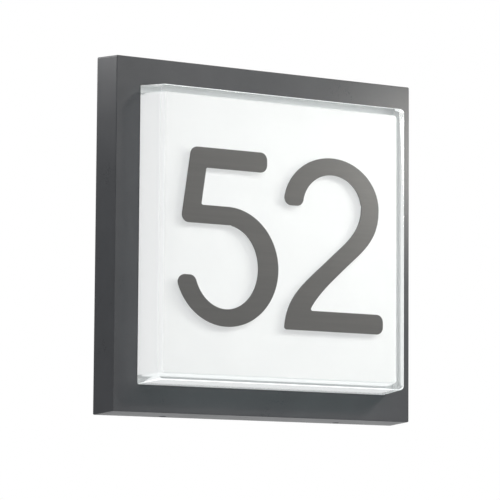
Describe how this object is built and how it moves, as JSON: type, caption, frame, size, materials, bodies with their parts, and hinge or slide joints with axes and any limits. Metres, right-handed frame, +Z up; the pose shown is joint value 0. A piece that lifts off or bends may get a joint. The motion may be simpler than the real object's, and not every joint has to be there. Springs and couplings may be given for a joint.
{
  "type": "illuminated house number wall light",
  "caption": "Square outdoor wall light: anthracite metal cover over a base pan, lit white glass dish with plain metal digits.",
  "frame": {"origin": "middle of the base pan's wall side, on the wall plane", "axes": "+Y into the wall, -Y towards the viewer, +X to the viewer's right, +Z up"},
  "size_m": [0.3, 0.0618, 0.3],
  "materials": {
    "cast_pan": "die-cast, raw",
    "black_rubber": "moulded EPDM",
    "white_moulding": "moulded polyamide",
    "brass_screws": "turned",
    "steel_screws": "zinc plated",
    "tinned_lug": "tinned",
    "brown_lead": "PVC insulation",
    "blue_lead": "PVC insulation",
    "green_yellow_lead": "PVC insulation, two colours",
    "driver_plastic": "moulded polycarbonate",
    "driver_lid_plastic": "moulded polycarbonate",
    "orange_plastic": "moulded polyamide",
    "white_coated_tray": "white powder coat",
    "board_mask": "white solder mask on aluminium",
    "chip_resin": "phosphor resin",
    "red_lead": "PVC insulation",
    "black_lead": "PVC insulation",
    "cover_paint": "anthracite, fine satin powder coat",
    "crystal_glass": "clear, polished",
    "white_layer": "white inner layer of the glass, lit from behind",
    "clear_seal": "translucent silicone",
    "spring_steel": "stainless strip",
    "white_tape": "acrylic foam tape",
    "digit_paint": "anthracite, satin coat with a fine brushed grain",
    "stainless_screw": "stainless"
  },
  "bodies": {
    "base": {"base_pan": "cast_pan", "pan_rim": "cast_pan", "pan_posts": "cast_pan", "cable_grommet": "black_rubber", "terminal_block": "white_moulding", "terminal_screws": "brass_screws", "terminal_fixing_screw": "steel_screws", "earth_screw": "brass_screws", "earth_lug": "tinned_lug", "live_lead": "brown_lead", "neutral_lead": "blue_lead", "earth_lead": "green_yellow_lead", "driver_case": "driver_plastic", "driver_lid": "driver_lid_plastic", "driver_terminals": "orange_plastic", "driver_screws": "steel_screws", "reflector_tray": "white_coated_tray", "tray_screws": "steel_screws", "tray_grommet": "black_rubber", "lamp_board": "board_mask", "light_chips": "chip_resin", "board_connector": "white_moulding", "board_screws": "steel_screws", "lamp_lead_red": "red_lead", "lamp_lead_black": "black_lead"},
    "cover": {"cover_frame": "cover_paint", "glass_dish": "crystal_glass", "opal_layer": "white_layer", "glass_seal": "clear_seal", "glass_clamps": "spring_steel", "clamp_pads": "black_rubber", "clamp_screws": "steel_screws", "digit_tapes": "white_tape", "digit_five": "digit_paint", "digit_two": "digit_paint"},
    "left_lock": {"lock_screw_left": "stainless_screw"},
    "right_lock": {"lock_screw_right": "stainless_screw"}
  },
  "joints": [
    {"name": "cover_slide", "type": "slide", "parent": "base", "child": "cover", "axis": [0, -1, 0], "range_m": [0, 0.06]},
    {"name": "left_screw_travel", "type": "slide", "parent": "cover", "child": "left_lock", "axis": [0, 0, -1], "range_m": [0, 0.0035]},
    {"name": "right_screw_travel", "type": "slide", "parent": "cover", "child": "right_lock", "axis": [0, 0, -1], "range_m": [0, 0.0035]}
  ]
}
